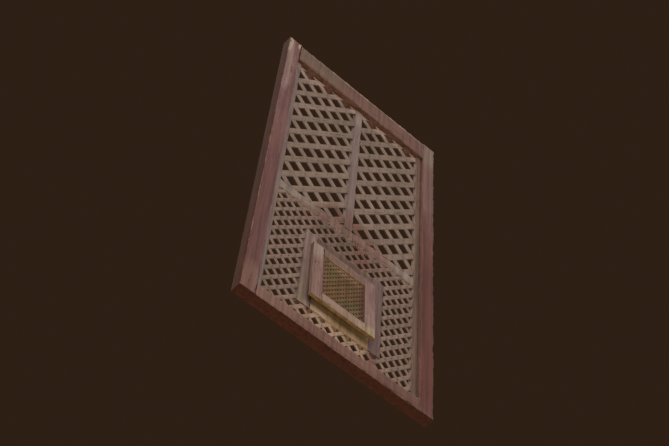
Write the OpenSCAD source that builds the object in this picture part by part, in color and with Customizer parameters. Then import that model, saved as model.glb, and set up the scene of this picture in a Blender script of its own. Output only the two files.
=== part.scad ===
// Wall screen: a heavy timber frame filled with diagonal lath lattice in two scales,
// with a small hatch leaf hung at its top edge in the lower part.
// The front faces -Y, +Z is up and the wall lies behind at +Y.
// The origin is the middle of the sill rail's flat back face.

/* [Frame] */
// Overall width of the outer frame
screen_w = 1300; // [1100:10:1500]
// Overall height of the outer frame
screen_h = 2650; // [2250:10:3050]
// Depth of the frame members from front to back
frame_d = 70; // [66:1:120]
// Face width of the two stiles
stile_w = 100; // [85:1:130]
// Face height of the head rail
head_h = 182; // [140:1:210]
// Face height of the sill rail
sill_h = 93; // [75:1:120]
// Eased front edges of the frame members
arris = 5; // [1:0.5:10]

/* [Dividers] */
// Face width of the centre mullion
mullion_w = 60; // [50:1:90]
// Face height of the mid rail
mid_h = 72; // [60:1:100]
// Height of the mid rail's centre line above the bottom edge
mid_z = 1086; // [950:1:1200]
// How far the mullion and the mid rail stand back from the frame's face
divider_set = 32; // [10:1:38]
// Face width of the edge strips beside the stiles
strip_w = 38; // [20:1:60]
// How far the edge strips stand back from the frame's face
strip_set = 24; // [5:1:35]
// Depth of the dividers and the edge strips
divider_d = 30; // [25:1:40]
// Eased front edges of the dividers, the hatch surround and the leaf
board_arris = 3; // [1:0.5:6]
// Eased front edges of the edge strips
strip_arris = 2; // [0.5:0.5:4]

/* [Lattice] */
// How far the lattice stands back from the frame's face
lattice_set = 35; // [28:1:45]
// Diagonal of one cell of the upper lattice
coarse_pitch = 157; // [130:1:190]
// Width of the upper laths
coarse_lath = 45; // [35:1:65]
// Thickness of the upper laths
coarse_t = 9; // [7:0.5:14]
// Height of a hole centre row of the upper lattice above the bottom edge
coarse_row = 1185; // [1150:1:1250]
// Diagonal of one cell of the lower lattice
fine_pitch = 88; // [70:1:110]
// Width of the lower laths
fine_lath = 27; // [20:1:36]
// Thickness of the lower laths
fine_t = 8; // [6:0.5:12]
// Height of a hole centre row of the lower lattice above the bottom edge
fine_row = 165; // [130:1:210]
// Distance of a hole centre column of the lower lattice from the middle
fine_col = 22; // [-44:1:44]
// Step between the faces of the two crossing layers of laths, which are halved into each other
lath_step = 1; // [0.5:0.5:4]

/* [Hatch surround] */
// Outer width of the surround
surround_w = 576; // [480:2:640]
// Outer top of the surround above the bottom edge
surround_top = 845; // [780:1:900]
// Outer bottom of the surround above the bottom edge
surround_bottom = 220; // [180:1:260]
// Width of the surround's posts
post_w = 88; // [70:1:120]
// Height of the surround's head
surround_head = 110; // [80:1:130]
// Height of the surround's sill
surround_sill = 72; // [50:1:90]
// How far the surround stands back from the frame's face
surround_set = 31; // [20:1:38]
// Depth of the surround's boards
surround_d = 34; // [25:1:50]

/* [Hatch leaf] */
// Width of the leaf
leaf_w = 448; // [380:1:500]
// Height of the leaf
leaf_h = 480; // [420:1:540]
// Thickness of the leaf's frame
leaf_t = 20; // [18:1:40]
// Face width of the leaf's stiles
leaf_member = 74; // [45:1:85]
// Face height of the leaf's rails
leaf_rail_h = 70; // [45:1:80]
// How far the leaf hangs off the middle
leaf_x = -16; // [-30:1:30]
// Height of the leaf's top edge above the bottom edge
leaf_top = 752; // [740:1:800]
// Angle by which the leaf stands ajar at its foot
leaf_ajar = 3.3; // [0:0.1:8]
// Gap between the closed leaf and the surround
leaf_gap = 2; // [1:0.5:4]
// Diagonal of one cell of the leaf's lattice
infill_pitch = 38; // [30:1:60]
// Width of the infill laths
infill_lath = 18; // [10:0.5:20]
// Thickness of the infill laths
infill_t = 5; // [4:0.5:8]
// How far the infill stands back from the leaf's face
infill_set = 6; // [4:1:16]

/* [Hinges] */
// Distance of each hinge from the middle of the leaf
hinge_x = 140; // [100:1:180]
// Length of the hinge's barrel and width of its plates
hinge_w = 60; // [40:1:80]
// Height of the plate on the surround
hinge_plate = 38; // [25:1:50]
// Thickness of the hinge plates
plate_t = 3; // [2:0.5:4]
// Radius of the hinge's barrel
barrel_r = 5; // [3:0.5:7]
// Gap between the barrel and the surround's face
barrel_gap = 1; // [0.5:0.5:2]
// Gap between the barrel and the leaf's top edge
barrel_lift = 1.5; // [1:0.5:3]
// How far the leaf's plate stops short of the leaf's face
plate_set = 4; // [2:1:8]

/* [Hidden] */
front_y = -frame_d;
half_w = screen_w / 2;
inner_x = half_w - stile_w;
base_z = -sill_h / 2;
mid_lo = mid_z - mid_h / 2;
mid_hi = mid_z + mid_h / 2;
head_lo = screen_h - head_h;
lattice_y = front_y + lattice_set;
divider_y = front_y + divider_set;
strip_y = front_y + strip_set;
surround_y = front_y + surround_set;
post_x = surround_w / 2;
panel_x = inner_x - strip_w;
panel_cx = -(panel_x + mullion_w / 2) / 2;
hang_y = surround_y - leaf_gap;
// Share of a lath's width by which its middle line must cut into a panel's corner to be laid
corner_share = 0.2;

// Upright board with eased front edges; its front face is at y = 0 and it stands on z = 0.
module upright(w, d, h, c) {
  linear_extrude(height = h)
    polygon([
      [-w / 2, d],
      [-w / 2, c],
      [-w / 2 + c, 0],
      [w / 2 - c, 0],
      [w / 2, c],
      [w / 2, d]
    ]);
}

// Level board with eased front edges; its front face is at y = 0 and its middle at x = 0.
module level(w, d, h, c) {
  translate([-w / 2, 0, 0])
    rotate([90, 0, 90])
      linear_extrude(height = w)
        polygon([
          [d, 0],
          [c, 0],
          [0, c],
          [0, h - c],
          [c, h],
          [d, h]
        ]);
}

// Flat pattern of parallel laths at 45 degrees inside the box x0..x1, z0..z1.
// lean 1 rises to the right and lean -1 rises to the left; hx, hz is the centre of one hole.
module lath_pattern(x0, x1, z0, z1, pitch, lath, hx, hz, lean) {
  cx = (x0 + x1) / 2;
  cz = (z0 + z1) / 2;
  mid = cx - lean * cz;
  reach = (x1 - x0 + z1 - z0) / 2 - lath * corner_share;
  start = hx - lean * hz + pitch / 2;
  first = ceil((mid - reach - start) / pitch);
  last = floor((mid + reach - start) / pitch);
  intersection() {
    translate([x0, z0])
      square([x1 - x0, z1 - z0]);
    union() {
      for (m = [first:last]) {
        off = (start + m * pitch - mid) / 2;
        translate([cx + off, cz - lean * off])
          rotate(lean * 45)
            square([x1 - x0 + z1 - z0, lath], center = true);
      }
    }
  }
}

// Two crossing layers of laths halved into each other; face is the y of the front surface.
module lattice(x0, x1, z0, z1, pitch, lath, t, hx, hz, face) {
  translate([0, face + t, 0])
    rotate([90, 0, 0])
      linear_extrude(height = t)
        lath_pattern(x0, x1, z0, z1, pitch, lath, hx, hz, 1);
  translate([0, face + lath_step + t, 0])
    rotate([90, 0, 0])
      linear_extrude(height = t)
        lath_pattern(x0, x1, z0, z1, pitch, lath, hx, hz, -1);
}

// Moves a piece from the height above the bottom edge into the shared frame.
module lift() {
  translate([0, 0, base_z])
    children();
}

// Hangs a piece of the leaf: local z runs down from the top edge, local y = 0 is the leaf's back.
module hang() {
  translate([leaf_x, hang_y, base_z + leaf_top])
    rotate([-leaf_ajar, 0, 0])
      children();
}

// Frame members
module head_rail() {
  color("#6b4a46")
    lift()
      translate([0, front_y, head_lo])
        level(2 * inner_x, frame_d, head_h, arris);
}

module sill_rail() {
  color("#6f4c48")
    lift()
      translate([0, front_y, 0])
        level(2 * inner_x, frame_d, sill_h, arris);
}

module frame_stile(side) {
  lift()
    translate([side * (half_w - stile_w / 2), front_y, 0])
      upright(stile_w, frame_d, screen_h, arris);
}

module left_stile() {
  color("#734d4c")
    frame_stile(-1);
}

module right_stile() {
  color("#6c4441")
    frame_stile(1);
}

// Dividers
module centre_mullion() {
  color("#75655f")
    lift()
      translate([0, divider_y, mid_hi])
        upright(mullion_w, divider_d, head_lo - mid_hi, board_arris);
}

module mid_rail() {
  color("#76625a")
    lift()
      translate([0, divider_y, mid_lo])
        level(2 * panel_x, divider_d, mid_h, board_arris);
}

// Strips along the stiles that hold the edges of the lattice; they meet level with the mid rail
module edge_strip(side, z0, z1) {
  lift()
    translate([side * (inner_x - strip_w / 2), strip_y, z0])
      upright(strip_w, divider_d, z1 - z0, strip_arris);
}

module upper_left_strip() {
  color("#75655f")
    edge_strip(-1, mid_z, head_lo);
}

module upper_right_strip() {
  color("#6f5e4c")
    edge_strip(1, mid_z, head_lo);
}

module lower_left_strip() {
  color("#716159")
    edge_strip(-1, sill_h, mid_z);
}

module lower_right_strip() {
  color("#6f5e4c")
    edge_strip(1, sill_h, mid_z);
}

// Upper lattice panels
module upper_panel(x0, x1, cx) {
  lift()
    lattice(x0, x1, mid_hi, head_lo, coarse_pitch, coarse_lath, coarse_t, cx, coarse_row, lattice_y);
}

module upper_left_lattice() {
  color("#7d6e62")
    upper_panel(-panel_x, -mullion_w / 2, panel_cx);
}

module upper_right_lattice() {
  color("#7d6e62")
    upper_panel(mullion_w / 2, panel_x, -panel_cx);
}

// Lower lattice panels
module lower_panel(x0, x1, z0, z1) {
  lift()
    lattice(x0, x1, z0, z1, fine_pitch, fine_lath, fine_t, fine_col, fine_row, lattice_y);
}

module lower_left_lattice() {
  color("#7a6a5c")
    lower_panel(-panel_x, -post_x, sill_h, mid_lo);
}

module lower_right_lattice() {
  color("#7a6a5c")
    lower_panel(post_x, panel_x, sill_h, mid_lo);
}

module lower_top_lattice() {
  color("#78685b")
    lower_panel(-post_x, post_x, surround_top, mid_lo);
}

module lower_foot_lattice() {
  color("#86745f")
    lower_panel(-post_x, post_x, sill_h, surround_bottom);
}

// Hatch surround
module surround_post(side) {
  lift()
    translate([side * (post_x - post_w / 2), surround_y, surround_bottom])
      upright(post_w, surround_d, surround_top - surround_bottom, board_arris);
}

module surround_left_post() {
  color("#73635f")
    surround_post(-1);
}

module surround_right_post() {
  color("#73635f")
    surround_post(1);
}

module surround_head() {
  color("#6a584c")
    lift()
      translate([0, surround_y, surround_top - surround_head])
        level(surround_w - 2 * post_w, surround_d, surround_head, board_arris);
}

module surround_sill() {
  color("#84745a")
    lift()
      translate([0, surround_y, surround_bottom])
        level(surround_w - 2 * post_w, surround_d, surround_sill, board_arris);
}

// Hatch leaf
module leaf_stile(side) {
  hang()
    translate([side * (leaf_w - leaf_member) / 2, -leaf_t, -leaf_h])
      upright(leaf_member, leaf_t, leaf_h, board_arris);
}

module leaf_left_stile() {
  color("#8c736c")
    leaf_stile(-1);
}

module leaf_right_stile() {
  color("#8c736c")
    leaf_stile(1);
}

module leaf_rail(z) {
  hang()
    translate([0, -leaf_t, z])
      level(leaf_w - 2 * leaf_member, leaf_t, leaf_rail_h, board_arris);
}

module leaf_top_rail() {
  color("#8a716a")
    leaf_rail(-leaf_rail_h);
}

module leaf_bottom_rail() {
  color("#8f766d")
    leaf_rail(-leaf_h);
}

module leaf_lattice() {
  half = leaf_w / 2 - leaf_member;
  color("#5f4b2d")
    hang()
      lattice(
        -half, half, leaf_rail_h - leaf_h, -leaf_rail_h,
        infill_pitch, infill_lath, infill_t,
        0, -leaf_h / 2, -leaf_t + infill_set
      );
}

// Butt hinges at the top edge of the leaf
module hinge(x) {
  translate([leaf_x + x - hinge_w / 2, surround_y - plate_t, base_z + leaf_top + barrel_r])
    cube([hinge_w, plate_t, hinge_plate]);
  translate([leaf_x + x - hinge_w / 2, surround_y - barrel_gap - barrel_r, base_z + leaf_top + barrel_lift + barrel_r])
    rotate([0, 90, 0])
      cylinder(h = hinge_w, r = barrel_r);
  hang()
    translate([x - hinge_w / 2, plate_set - leaf_t, 0])
      cube([hinge_w, leaf_t - plate_set, plate_t]);
}

module left_hinge() {
  color("#3c3430")
    hinge(-hinge_x);
}

module right_hinge() {
  color("#3c3430")
    hinge(hinge_x);
}

head_rail();
sill_rail();
left_stile();
right_stile();
centre_mullion();
mid_rail();
upper_left_strip();
upper_right_strip();
lower_left_strip();
lower_right_strip();
upper_left_lattice();
upper_right_lattice();
lower_left_lattice();
lower_right_lattice();
lower_top_lattice();
lower_foot_lattice();
surround_left_post();
surround_right_post();
surround_head();
surround_sill();
leaf_left_stile();
leaf_right_stile();
leaf_top_rail();
leaf_bottom_rail();
leaf_lattice();
left_hinge();
right_hinge();
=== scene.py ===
"""Mashrabiya screen: a worn timber frame, lath lattices in two scales and a small hatch.

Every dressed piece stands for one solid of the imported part. Timbers and panels take their size and
place from the frame. The hatch leaf has sizes of its own: it is made upright and then hung.
Lengths are in metres: x runs to the right, y to the back and z up.
"""
import bpy
import math
import random
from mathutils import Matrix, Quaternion, Vector


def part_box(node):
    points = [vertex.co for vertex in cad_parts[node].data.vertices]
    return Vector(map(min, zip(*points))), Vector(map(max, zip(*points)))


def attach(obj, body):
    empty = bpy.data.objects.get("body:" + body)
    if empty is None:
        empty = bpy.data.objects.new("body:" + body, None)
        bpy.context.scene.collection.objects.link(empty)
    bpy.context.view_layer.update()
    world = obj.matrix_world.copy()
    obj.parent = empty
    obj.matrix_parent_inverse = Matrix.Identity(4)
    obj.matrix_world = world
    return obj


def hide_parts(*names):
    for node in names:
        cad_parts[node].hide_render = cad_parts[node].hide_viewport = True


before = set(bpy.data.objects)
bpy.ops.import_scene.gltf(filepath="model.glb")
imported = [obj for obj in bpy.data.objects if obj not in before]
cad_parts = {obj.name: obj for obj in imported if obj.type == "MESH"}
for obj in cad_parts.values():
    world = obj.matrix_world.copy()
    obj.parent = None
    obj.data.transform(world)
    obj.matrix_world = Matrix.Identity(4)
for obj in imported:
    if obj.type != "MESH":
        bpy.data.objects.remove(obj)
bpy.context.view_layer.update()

# Axes
RIGHT = 0
BACK = 1
UP = 2


# Places of the faces and heights, worked out from the frame
def face(node):
    """How far forward a node's front stands."""
    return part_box(node)[0].y


FRAME_FACE = face("left_stile")
BOARD_FACE = face("mid_rail")
LATH_FACE = face("upper_left_lattice")
HATCH_FACE = face("surround_head")
HATCH_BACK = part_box("surround_head")[1].y
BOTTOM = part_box("sill_rail")[0].z


def above(height):
    """A height above the bottom edge of the screen, as a place in the shared frame."""
    return BOTTOM + height


# The hatch leaf hangs from the back of its top edge, a little ajar
LEAF_X = -0.016  # its middle
LEAF_TOP = 0.752  # above the bottom edge of the screen
LEAF_HALF = 0.224  # half of its width
LEAF_HEIGHT = 0.480
LEAF_THICK = 0.020
LEAF_STILE = 0.074
LEAF_RAIL = 0.070
LEAF_GAP = 0.002  # between the surround and the leaf's top edge
LEAF_AJAR = math.radians(3.3)
INFILL_SET_BACK = 0.006

# The hatch sill stands higher than its solid, up behind the leaf's foot
HATCH_SILL_RISE = 0.046

# Laths: cut is the length of one face along a lath, worn is how deep its faces are worn
COARSE = dict(pitch=0.157, width=0.045, thick=0.009, cut=0.020, worn=0.0012)
FINE = dict(pitch=0.088, width=0.027, thick=0.008, cut=0.014, worn=0.0009)
INFILL = dict(pitch=0.038, width=0.018, thick=0.005, cut=0.012, worn=0.0005)
LAYER_STEP = 0.001  # the second layer lies this far behind the first

# Laths are laid out from the middle of one hole
COARSE_HOLE_HEIGHT = 1.185
FINE_HOLE_X = 0.022
FINE_HOLE_HEIGHT = 0.165

# Timbers: the width of the arris, how deep the faces are hollowed and how deep the arrises are chipped
STILE_WEAR = dict(arris=0.006, hollow=0.0022, chips=0.0045)
RAIL_WEAR = dict(arris=0.006, hollow=0.0024, chips=0.0050)
BOARD_WEAR = dict(arris=0.0035, hollow=0.0014, chips=0.0030)
MID_WEAR = dict(arris=0.0035, hollow=0.0016, chips=0.0035)
STRIP_WEAR = dict(arris=0.0022, hollow=0.0008, chips=0.0018)
HATCH_SILL_WEAR = dict(arris=0.0035, hollow=0.0016, chips=0.0034)
LEAF_WEAR = dict(arris=0.0032, hollow=0.0010, chips=0.0026)

# Faces that meet at less than these angles, in degrees, are shaded smooth
SMOOTH_TIMBER = 35
SMOOTH_LATH = 40
SMOOTH_IRON = 30

# Bench work: selecting, cutting and joining
ALONG = 0.9  # the least share of a direction that counts as along an axis
TOUCH = 1e-5  # places nearer than this are the same
NOISE_STEPS = (0.37, 0.61, 0.83)  # how far one step of the seed moves the noise on each axis
TO_FRONT = (math.pi / 2, 0, 0)  # turns a round bar to lie along y
TO_SIDE = (0, math.pi / 2, 0)  # turns a round bar to lie along x


def leave_edit():
    """Goes back to object mode."""
    bpy.ops.object.mode_set(mode="OBJECT")


def only(*pieces):
    """Leaves edit mode, with just these pieces selected, if any, and the first of them active."""
    if bpy.context.object and bpy.context.object.mode != "OBJECT":
        leave_edit()
    bpy.ops.object.select_all(action="DESELECT")
    for piece in pieces:
        piece.select_set(True)
    if pieces:
        bpy.context.view_layer.objects.active = pieces[0]


def settle():
    """Puts the place, turn and size of what is selected into its mesh."""
    bpy.ops.object.transform_apply(location=True, rotation=True, scale=True)


def pick(piece, kind, test):
    """Enters edit mode with those edges or faces selected whose middle and direction pass the test."""
    only(piece)
    mesh = piece.data
    for group in (mesh.vertices, mesh.edges, mesh.polygons):
        group.foreach_set("select", [False] * len(group))
    if kind == "EDGE":
        for edge in mesh.edges:
            a, b = (mesh.vertices[index].co for index in edge.vertices)
            edge.select = test((a + b) / 2, (b - a).normalized())
    else:
        for facet in mesh.polygons:
            facet.select = test(facet.center, facet.normal)
    bpy.context.tool_settings.mesh_select_mode = (False, kind == "EDGE", kind == "FACE")
    bpy.ops.object.mode_set(mode="EDIT")


def pick_all(piece):
    """Enters edit mode with every face selected."""
    only(piece)
    bpy.context.tool_settings.mesh_select_mode = (False, False, True)
    bpy.ops.object.mode_set(mode="EDIT")
    bpy.ops.mesh.select_all(action="SELECT")


def block(name, low, high):
    """A squared length of timber or iron, added at its size and place."""
    low, high = Vector(low), Vector(high)
    only()
    bpy.ops.mesh.primitive_cube_add(size=1, location=(low + high) / 2, scale=high - low)
    piece = bpy.context.object
    piece.name = name
    piece.data.name = name
    settle()
    return piece


def round_bar(name, vertices, radius, length, turn, place=(0, 0, 0)):
    """A round bar or disc, turned and set in its place."""
    only()
    bpy.ops.mesh.primitive_cylinder_add(
        vertices=vertices, radius=radius, depth=length, rotation=turn, location=place)
    piece = bpy.context.object
    piece.name = name
    settle()
    return piece


def plane(axis, place, way=1):
    """A plane square to one axis, as the bisect operator takes it."""
    point, direction = Vector(), Vector()
    point[axis] = place
    direction[axis] = way
    return dict(plane_co=point, plane_no=direction)


def score(piece, axis, places):
    """Cuts loops across the piece at the given places on one axis, without taking anything off."""
    for place in places:
        pick_all(piece)
        bpy.ops.mesh.bisect(**plane(axis, place))
    leave_edit()


def divide(piece, axis, length, cut):
    """Divides the edges that run along one axis into steps of about one cut."""
    pick(piece, "EDGE", lambda middle, way: abs(way[axis]) > ALONG)
    bpy.ops.mesh.subdivide(number_cuts=max(2, round(length / cut)) - 1)
    leave_edit()


def soften(piece, axis, radius, segments):
    """Rounds the edges that run along one axis."""
    pick(piece, "EDGE", lambda middle, way: abs(way[axis]) > ALONG)
    bpy.ops.mesh.bevel(offset=radius, segments=segments, affect="EDGES")
    leave_edit()


def crown(piece, margin):
    """Raises the middle of the front face by half of the margin that slopes round it."""
    pick(piece, "FACE", lambda middle, way: way.y < -ALONG)
    bpy.ops.mesh.inset(thickness=margin)
    bpy.ops.transform.translate(value=(0, -margin / 2, 0))
    leave_edit()


def copy_of(master):
    """A copy of a piece, with its own mesh."""
    piece = master.copy()
    piece.data = master.data.copy()
    bpy.context.scene.collection.objects.link(piece)
    return piece


def discard(piece):
    """Deletes a master once its copies are made."""
    only(piece)
    bpy.ops.object.delete()


def join(pieces, name):
    """Makes one piece of several."""
    only(*pieces)
    bpy.ops.object.join()
    whole = pieces[0]
    whole.name = name
    whole.data.name = name
    return whole


def mark(piece, name, test):
    """Stores a value at each vertex of the piece, for its finish to read."""
    values = [float(test(vertex.co)) for vertex in piece.data.vertices]
    layer = piece.data.attributes.new(name, "FLOAT", "POINT")
    layer.data.foreach_set("value", values)


def weathering(piece, name, group, scale, strength, seed, stretch=(1, 1, 1), hard=1.0):
    """Wears a group's surface inwards by a noise that may be hard, or stretched along the grain."""
    rod = bpy.data.objects.new("grain_rod", None)
    bpy.context.scene.collection.objects.link(rod)
    rod.location = [seed * step for step in NOISE_STEPS]
    rod.scale = stretch
    bpy.context.view_layer.update()
    noise = bpy.data.textures.new(name, "CLOUDS")
    noise.noise_scale = scale
    noise.use_color_ramp = True
    ramp = noise.color_ramp.elements
    for stop, place, level in zip(ramp, (0.5 - 0.5 / hard, 0.5 + 0.5 / hard), (0, 1)):
        stop.position = place
        stop.color = (level, level, level, 1)
    wear = piece.modifiers.new(name, "DISPLACE")
    wear.texture = noise
    wear.texture_coords = "OBJECT"
    wear.texture_coords_object = rod
    wear.mid_level = 1.0
    wear.strength = strength
    wear.vertex_group = group
    only(piece)
    bpy.ops.object.modifier_apply(modifier=name)
    bpy.data.textures.remove(noise)
    bpy.data.objects.remove(rod)


def dress(piece, node, material, smooth=SMOOTH_TIMBER):
    """Gives a piece its finish and lets it stand for its node."""
    piece.data.materials.clear()
    piece.data.materials.append(material)
    only(piece)
    bpy.ops.object.shade_smooth_by_angle(angle=math.radians(smooth))
    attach(piece, "root")
    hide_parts(node)


# Timbers of the frame, dividers, surround and leaf
END_GAP = 0.0003  # a timber ends this short of its solid
TIMBER_CUT = 0.020  # the length of one face along a timber
LEAF_CUT = 0.015
ROW_WIDTH = 0.022  # the width of one face across it
ROW_MARGIN = 0.005
ARRIS_ROUND = 0.55
ARRIS_REACH = 1.05  # the arris is worn this many times its own width
STILL_BACK = 0.001  # nearer than this to its back or to an end, a timber isn't worn
STILL_END = 0.0005
HOLLOW_SCALE = 0.35
ACROSS_GRAIN = 0.12  # hollows are this much shorter across the grain
CHIP_SCALE = 0.030
CHIP_HARD = 4.0
CHIP_SEED_STEP = 5


def rows_across(low, high, near):
    """Places of the loops across a face: one near each arris and more between them."""
    clear = high - low - 2 * near
    rows = max(1, int(clear / ROW_WIDTH))
    between = [low + near + clear * (row + 1) / (rows + 1) for row in range(rows)]
    return [low + near, high - near, *between]


def wear_groups(piece, low, high, axis, on_edge):
    """Groups of the vertices that may wear: all but the back and the ends, and those on the arrises."""
    faces = piece.vertex_groups.new(name="faces")
    edges = piece.vertex_groups.new(name="edges")
    for vertex in piece.data.vertices:
        from_end = min(vertex.co[axis] - low[axis], high[axis] - vertex.co[axis])
        if vertex.co.y < high.y - STILL_BACK and from_end > STILL_END:
            faces.add([vertex.index], 1.0, "REPLACE")
            if on_edge(vertex.co):
                edges.add([vertex.index], 1.0, "REPLACE")


def timber(name, low, high, axis, wear, seed, cut=TIMBER_CUT):
    """A weathered plank: its front arrises are rounded and chipped and its faces are worn hollow."""
    low, high = Vector(low), Vector(high)
    low[axis] += END_GAP
    high[axis] -= END_GAP
    across = UP if axis == RIGHT else RIGHT
    front, arris = low.y, wear["arris"]
    piece = block(name, low, high)
    divide(piece, axis, high[axis] - low[axis], cut)

    def on_arris(middle, way):
        aside = min(abs(middle[across] - low[across]), abs(middle[across] - high[across]))
        return abs(way[axis]) > ALONG and abs(middle.y - front) < TOUCH and aside < TOUCH

    pick(piece, "EDGE", on_arris)
    bpy.ops.mesh.bevel(offset=arris, segments=3, profile=ARRIS_ROUND, affect="EDGES")
    leave_edit()

    near = arris + ROW_MARGIN
    score(piece, across, rows_across(low[across], high[across], near))
    score(piece, BACK, [front + near, (front + near + high.y) / 2])

    def on_edge(co):
        aside = min(co[across] - low[across], high[across] - co[across])
        return aside < arris * ARRIS_REACH and co.y < front + arris * ARRIS_REACH

    mark(piece, "arris", on_edge)
    wear_groups(piece, low, high, axis, on_edge)
    stretch = [ACROSS_GRAIN] * 3
    stretch[axis] = 1.0
    weathering(piece, "hollow", "faces", HOLLOW_SCALE, wear["hollow"], seed, stretch=stretch)
    weathering(piece, "chips", "edges", CHIP_SCALE, wear["chips"], seed + CHIP_SEED_STEP, hard=CHIP_HARD)
    return piece


# Laths and lattices
LATH_ARRIS = 0.0016  # at most this, and at most this share of the thickness
LATH_ARRIS_SHARE = 0.22
LATH_RUBBED = 0.0018  # the part of its width, from each edge, that loses its paint first
CORNER_SHARE = 0.2  # a lath whose middle line passes a corner nearer than this, in widths, is left out
STILL_SIDE = 0.001  # nearer than this to the panel's sides, laths aren't worn
WEAR_SCALE = 0.022
WEAR_HARD = 1.6

# How far laths and nails are out of true
LATH_ASIDE = 0.0012  # at most this, and at most this share of the width
LATH_ASIDE_SHARE = 0.03
LATH_BACK = 0.0006
LATH_TWIST = 0.004
LATH_SWING = 0.003
GRAIN_SLIDE = 9  # moves the grain map, so that no two laths are alike
NAIL_WANDER = 0.004
NAIL_TURN = 3

# Nails
NAIL_RADIUS = 0.0034
NAIL_THICK = 0.0016
NAIL_CROWN = 0.0012
NAIL_BACK = 0.0004
NAIL_MARGIN = 0.012
NAIL_REACH = 1.5  # crossings are looked for up to this far from the hole
NAIL_SEED_STEP = 77


def master_lath(name, length, form):
    """One straight lath along x, its front face at y = 0, with softened arrises and a middle line."""
    width, thick = form["width"], form["thick"]
    lath = block(name, (-length / 2, 0, -width / 2), (length / 2, thick, width / 2))
    divide(lath, RIGHT, length, form["cut"])
    soften(lath, RIGHT, min(LATH_ARRIS, thick * LATH_ARRIS_SHARE), 2)
    score(lath, UP, [0.0])
    mark(lath, "arris", lambda co: abs(co.z) > width / 2 - LATH_RUBBED)
    return lath


def lath_middles(low, high, form, hole, lean):
    """Middles of the laths of a panel that rise to the right (lean 1) or to the left (lean -1)."""
    pitch = form["pitch"]
    middle_x, middle_z = (low.x + high.x) / 2, (low.z + high.z) / 2
    middle = middle_x - lean * middle_z
    reach = (high.x - low.x + high.z - low.z) / 2 - form["width"] * CORNER_SHARE
    start = hole[0] - lean * hole[1] + pitch / 2
    first = math.ceil((middle - reach - start) / pitch)
    last = math.floor((middle + reach - start) / pitch)
    offsets = [(start + count * pitch - middle) / 2 for count in range(first, last + 1)]
    return [(middle_x + offset, middle_z - lean * offset) for offset in offsets]


def lay_lath(master, x, y, z, lean, width, dice):
    """A copy of the master lath on its line, a little out of true, with its own grain and tone."""
    lath = copy_of(master)
    grain = lath.data.uv_layers.new(name="grain")
    slide = (dice.uniform(0, GRAIN_SLIDE), dice.uniform(0, GRAIN_SLIDE))
    for corner in lath.data.loops:
        co = lath.data.vertices[corner.vertex_index].co
        grain.data[corner.index].uv = (co.x + slide[0], co.z + co.y + slide[1])
    tone = dice.random()
    mark(lath, "tone", lambda co: tone)
    aside = dice.uniform(-1, 1) * min(LATH_ASIDE, width * LATH_ASIDE_SHARE)
    lath.location = (x, y + dice.uniform(0.0, LATH_BACK), z + aside)
    twist = dice.uniform(-LATH_TWIST, LATH_TWIST)
    lath.rotation_euler = (twist, -lean * math.pi / 4 + dice.uniform(-1, 1) * LATH_SWING, 0)
    return lath


def trim(panel, low, high):
    """Cuts a panel's laths off at its four sides and closes each lath by itself."""
    for axis, place, way in ((RIGHT, low.x, -1), (RIGHT, high.x, 1), (UP, low.z, -1), (UP, high.z, 1)):
        pick_all(panel)
        bpy.ops.mesh.bisect(**plane(axis, place, way), clear_outer=True)
        bpy.ops.mesh.select_all(action="SELECT")
        bpy.ops.mesh.fill_holes(sides=0)
    bpy.ops.mesh.select_all(action="SELECT")
    bpy.ops.mesh.normals_make_consistent(inside=False)
    leave_edit()


def within(x, z, low, high, margin):
    """Whether a place lies in a panel, further than the margin from its sides."""
    return low.x + margin < x < high.x - margin and low.z + margin < z < high.z - margin


def lattice(name, low, high, hole, form, seed, nails=True):
    """A lattice panel: copies of one lath, laid in two crossing layers and trimmed to the panel."""
    dice = random.Random(seed)
    wide, tall = high.x - low.x, high.z - low.z
    master = master_lath(name + "_master", min(wide, tall) * math.sqrt(2) + 2 * form["width"], form)
    laths = []
    for lean in (1, -1):
        depth = low.y if lean == 1 else low.y + LAYER_STEP
        for x, z in lath_middles(low, high, form, hole, lean):
            # a lath's middle is set where its line crosses the middle of the panel's narrow way
            if wide < tall:
                shift = (low.x + high.x) / 2 - x
                x, z = x + shift, z + lean * shift
            else:
                shift = (low.z + high.z) / 2 - z
                x, z = x + lean * shift, z + shift
            laths.append(lay_lath(master, x, depth, z, lean, form["width"], dice))
    discard(master)
    only(*laths)
    settle()
    panel = join(laths, name)
    trim(panel, low, high)
    sides = panel.vertex_groups.new(name="sides")
    for vertex in panel.data.vertices:
        if within(vertex.co.x, vertex.co.z, low, high, STILL_SIDE):
            sides.add([vertex.index], 1.0, "REPLACE")
    weathering(panel, "wear", "sides", WEAR_SCALE, form["worn"], seed, hard=WEAR_HARD)
    if nails:
        drive_nails(panel, low, high, hole, form["pitch"], seed)
    return panel


def nail_head():
    """A small forged nail head, domed and facing the front."""
    nail = round_bar("nail_master", 8, NAIL_RADIUS, NAIL_THICK, TO_FRONT)
    crown(nail, NAIL_CROWN)
    return nail


def drive_nails(panel, low, high, hole, pitch, seed):
    """Drives one nail at each crossing of the panel's laths and joins the nails to it."""
    dice = random.Random(seed + NAIL_SEED_STEP)
    master = nail_head()
    heads = []
    reach = int(2 * NAIL_REACH / pitch)
    for i in range(-reach, reach + 1):
        for j in range(-reach, reach + 1):
            x, z = hole[0] + i * pitch / 2, hole[1] + j * pitch / 2
            if (i + j) % 2 and within(x, z, low, high, NAIL_MARGIN):
                head = copy_of(master)
                x += dice.uniform(-NAIL_WANDER, NAIL_WANDER)
                z += dice.uniform(-NAIL_WANDER, NAIL_WANDER)
                head.location = (x, low.y + NAIL_BACK, z)
                head.rotation_euler = (0, dice.uniform(0, NAIL_TURN), 0)
                mark(head, "iron", lambda co: 1.0)
                heads.append(head)
    discard(master)
    mark(panel, "iron", lambda co: 0.0)
    only(*heads)
    settle()
    join([panel, *heads], panel.name)


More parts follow.
